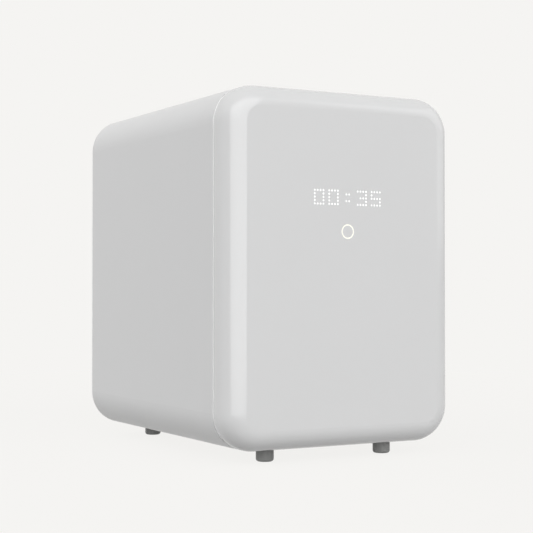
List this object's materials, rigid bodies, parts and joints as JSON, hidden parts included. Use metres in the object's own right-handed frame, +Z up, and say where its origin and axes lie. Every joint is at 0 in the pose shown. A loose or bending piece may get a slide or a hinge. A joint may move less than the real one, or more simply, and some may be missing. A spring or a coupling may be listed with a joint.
{
  "type": "uv baby bottle sterilizer",
  "caption": "Upright rounded UV cabinet steriliser for baby bottles, with a hinged front door, wire racks, lamp modules, a fan dryer, a dot readout and a ringed key.",
  "frame": {"origin": "on the floor under the middle of the cabinet's outer box", "axes": "+Z up, the door faces -Y, +X to the right as seen from the front"},
  "size_m": [0.29, 0.385, 0.4035],
  "materials": {
    "cabinet_shell": "satin moulded plastic, warm white",
    "door_shell": "satin moulded plastic, warm white",
    "inner_moulding": "fine matt moulding",
    "stainless": "brushed, reflective",
    "rear_plastic": "matt moulding",
    "filter_paper": "pleated filter paper",
    "zinc_steel": "zinc-plated sheet",
    "foot_rubber": "dull dark grey",
    "seal_silicone": "soft matt silicone",
    "circuit_board": "solder mask",
    "lamp_board": "white-coated metal-core board",
    "lamp_holder": "matt moulding",
    "lamp_led": "ceramic with a clear dome",
    "lamp_window": "clear quartz",
    "component_black": "moulded package",
    "brass_standoff": "turned brass",
    "supply_case": "folded sheet",
    "inlet_black": "moulded socket",
    "brass_pin": "plated pin",
    "hinge_steel": "ground steel",
    "bush_plastic": "self-lubricating plastic",
    "magnet": "nickel-plated magnet",
    "stainless_wire": "electropolished stainless",
    "duct_plastic": "heat-resistant moulding",
    "heater": "aluminium fins",
    "fan_plastic": "moulded fan",
    "bearing_bronze": "sintered bronze",
    "display_glow": "clear light guide, lit",
    "display_dark": "clear light guide, unlit",
    "ring_glow": "diffusing light guide, lit",
    "key_cap": "satin cap",
    "screw_steel": "zinc-plated"
  },
  "bodies": {
    "housing": {"outer_casing": "cabinet_shell", "front_frame": "inner_moulding", "chamber_liner": "stainless", "rear_panel": "rear_plastic", "rear_panel_screws": "screw_steel", "base_plate": "zinc_steel", "chamber_supports": "zinc_steel", "rubber_feet": "foot_rubber", "foot_screws": "screw_steel", "control_board": "circuit_board", "board_components": "component_black", "board_standoffs": "brass_standoff", "power_supply": "supply_case", "mains_inlet": "inlet_black", "inlet_pins": "brass_pin", "lamp_window_left": "lamp_window", "lamp_window_right": "lamp_window", "lamp_window_top": "lamp_window", "lamp_window_rear": "lamp_window", "lamp_holders_chamber": "lamp_holder", "lamp_boards_chamber": "lamp_board", "uv_leds_chamber": "lamp_led", "hinge_strips": "hinge_steel", "hinge_pins": "hinge_steel", "hinge_screws": "screw_steel", "latch_sleeve": "inner_moulding", "rack_studs": "stainless_wire", "air_duct": "duct_plastic", "heater_core": "heater", "fan_housing": "fan_plastic", "fan_bearing": "bearing_bronze"},
    "door": {"door_shell": "door_shell", "door_inner_panel": "inner_moulding", "door_panel_screws": "screw_steel", "door_reflector": "stainless", "door_gasket": "seal_silicone", "lamp_window_door": "lamp_window", "lamp_holders_door": "lamp_holder", "lamp_boards_door": "lamp_board", "uv_leds_door": "lamp_led", "display_dots_lit": "display_glow", "display_dots_dark": "display_dark", "dot_matrix_module": "component_black", "display_board": "circuit_board", "display_board_screws": "screw_steel", "key_light_ring": "ring_glow", "key_switch": "component_black", "hinge_bushes": "bush_plastic", "latch_strike": "hinge_steel"},
    "key": {"power_key": "key_cap"},
    "latch": {"latch_plunger": "inner_moulding", "latch_magnet": "magnet"},
    "upper_shelf": {"upper_rack": "stainless_wire"},
    "lower_shelf": {"lower_rack": "stainless_wire"},
    "fan": {"fan_rotor": "fan_plastic", "fan_shaft": "hinge_steel"},
    "filter_drawer": {"filter_cover": "rear_plastic", "filter_element": "filter_paper"}
  },
  "joints": [
    {"name": "door_swing", "type": "hinge", "parent": "housing", "child": "door", "pos_m": [0.137, -0.172, 0.209], "axis": [0, 0, 1], "range_deg": [0, 105]},
    {"name": "key_press", "type": "slide", "parent": "door", "child": "key", "axis": [0, 1, 0], "range_m": [0, 0.0006], "stiffness_N_per_m": 300},
    {"name": "latch_push", "type": "slide", "parent": "housing", "child": "latch", "axis": [0, -1, 0], "range_m": [0, 0.0081]},
    {"name": "upper_rack_lift", "type": "slide", "parent": "housing", "child": "upper_shelf", "axis": [0, 0, 1], "range_m": [0, 0.03]},
    {"name": "lower_rack_lift", "type": "slide", "parent": "housing", "child": "lower_shelf", "axis": [0, 0, 1], "range_m": [0, 0.03]},
    {"name": "fan_spin", "type": "hinge", "parent": "housing", "child": "fan", "pos_m": [0, 0.1684, 0.2905], "axis": [0, 1, 0], "continuous": true},
    {"name": "filter_pull", "type": "slide", "parent": "housing", "child": "filter_drawer", "axis": [0, 1, 0], "range_m": [0, 0.03]}
  ],
  "couplings": [
    {"joint": "latch_push", "follows": "door_swing", "m_per_rad": 0.00437}
  ]
}
